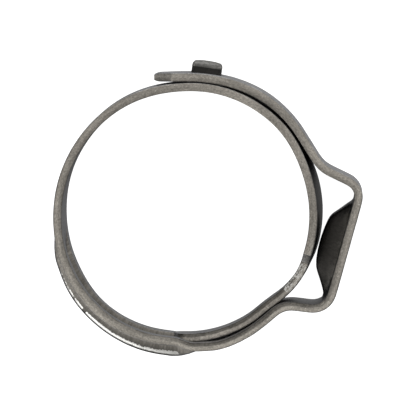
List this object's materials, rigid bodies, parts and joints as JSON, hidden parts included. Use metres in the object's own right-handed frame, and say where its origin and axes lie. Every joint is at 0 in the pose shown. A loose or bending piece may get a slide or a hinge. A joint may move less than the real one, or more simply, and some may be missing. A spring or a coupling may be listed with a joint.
{
  "type": "single-ear hose clamp",
  "caption": "Stepless single-ear hose clamp: a thin steel strip coiled into a ring, hooked to itself at the top, with a dimpled crimping ear and a tongue sliding in a raised channel.",
  "frame": {"origin": "on the bore axis at the middle of the strip's width", "axes": "+Z along the bore axis, +X towards the ear, +Y towards the hook button"},
  "size_m": [0.0222, 0.0211, 0.007],
  "materials": {
    "band_steel": "tumbled stainless strip, light wear",
    "hook_steel": "tumbled stainless strip, light wear",
    "ear_steel": "tumbled stainless strip, light wear",
    "dimple_steel": "tumbled stainless strip, light wear",
    "channel_steel": "tumbled stainless strip, light wear",
    "tongue_steel": "tumbled stainless strip, light wear"
  },
  "bodies": {
    "latched_band": {"button_band": "band_steel", "latch_button": "hook_steel", "window_strip": "band_steel", "outer_end_tab": "band_steel"},
    "overlap_arm": {"overlap_band": "band_steel", "overlap_rise": "band_steel"},
    "upper_ear_leg": {"upper_leg": "ear_steel"},
    "ear_top": {"ear_crown": "ear_steel", "crown_dimple": "dimple_steel"},
    "lower_ear_leg": {"lower_leg": "ear_steel"},
    "left_upper": {"left_band_upper": "band_steel"},
    "left_lower": {"left_band_lower": "band_steel", "channel_runout": "channel_steel"},
    "channel_arm": {"tongue_channel": "channel_steel", "step_bend": "channel_steel", "lower_overlap": "band_steel"},
    "inner_arm": {"inner_band": "band_steel"},
    "shoulder_arm": {"shoulder_band": "band_steel", "tongue_root": "tongue_steel"},
    "tongue_arm": {"tongue_blade": "tongue_steel", "tongue_tip": "tongue_steel"}
  },
  "joints": [
    {"name": "ear_pinch", "type": "hinge", "parent": "overlap_arm", "child": "upper_ear_leg", "pos_m": [0.00983, 0.00344, 0], "axis": [0, 0, 1], "range_deg": [0, 60]},
    {"name": "crown_fold", "type": "hinge", "parent": "upper_ear_leg", "child": "ear_top", "pos_m": [0.01195, 0.00154, 0], "axis": [0, 0, 1], "range_deg": [-45.7, 0]},
    {"name": "lower_leg_fold", "type": "hinge", "parent": "channel_arm", "child": "lower_ear_leg", "pos_m": [0.00736, -0.00699, 0], "axis": [0, 0, 1], "range_deg": [-60.1, 0]},
    {"name": "overlap_flex", "type": "hinge", "parent": "latched_band", "child": "overlap_arm", "pos_m": [0.00473, 0.0082, 0], "axis": [0, 0, 1], "range_deg": [-5.1, 0]},
    {"name": "upper_left_flex", "type": "hinge", "parent": "latched_band", "child": "left_upper", "pos_m": [-0.0037, 0.00793, 0], "axis": [0, 0, 1], "range_deg": [0, 4.6]},
    {"name": "middle_left_flex", "type": "hinge", "parent": "left_upper", "child": "left_lower", "pos_m": [-0.00832, 0.0027, 0], "axis": [0, 0, 1], "range_deg": [0, 5.1]},
    {"name": "lower_left_flex", "type": "hinge", "parent": "left_lower", "child": "channel_arm", "pos_m": [-0.00773, -0.00411, 0], "axis": [0, 0, 1], "range_deg": [0, 5.6]},
    {"name": "inner_layer_flex", "type": "hinge", "parent": "latched_band", "child": "inner_arm", "pos_m": [0.00438, 0.00758, 0], "axis": [0, 0, 1], "range_deg": [-5.1, 0]},
    {"name": "shoulder_flex", "type": "hinge", "parent": "inner_arm", "child": "shoulder_arm", "pos_m": [0.00862, 0.00152, 0], "axis": [0, 0, 1], "range_deg": [-5.6, 0]},
    {"name": "tongue_flex", "type": "hinge", "parent": "shoulder_arm", "child": "tongue_arm", "pos_m": [0.0069, -0.00539, 0], "axis": [0, 0, 1], "range_deg": [-6.1, 0]}
  ],
  "couplings": [
    {"joint": "crown_fold", "follows": "ear_pinch", "ratio": -0.7586},
    {"joint": "lower_leg_fold", "follows": "ear_pinch", "ratio": -0.99948},
    {"joint": "overlap_flex", "follows": "ear_pinch", "ratio": -0.081995},
    {"joint": "upper_left_flex", "follows": "ear_pinch", "ratio": 0.073796},
    {"joint": "middle_left_flex", "follows": "ear_pinch", "ratio": 0.081995},
    {"joint": "lower_left_flex", "follows": "ear_pinch", "ratio": 0.090195},
    {"joint": "inner_layer_flex", "follows": "ear_pinch", "ratio": -0.081995},
    {"joint": "shoulder_flex", "follows": "ear_pinch", "ratio": -0.090195},
    {"joint": "tongue_flex", "follows": "ear_pinch", "ratio": -0.098395}
  ]
}
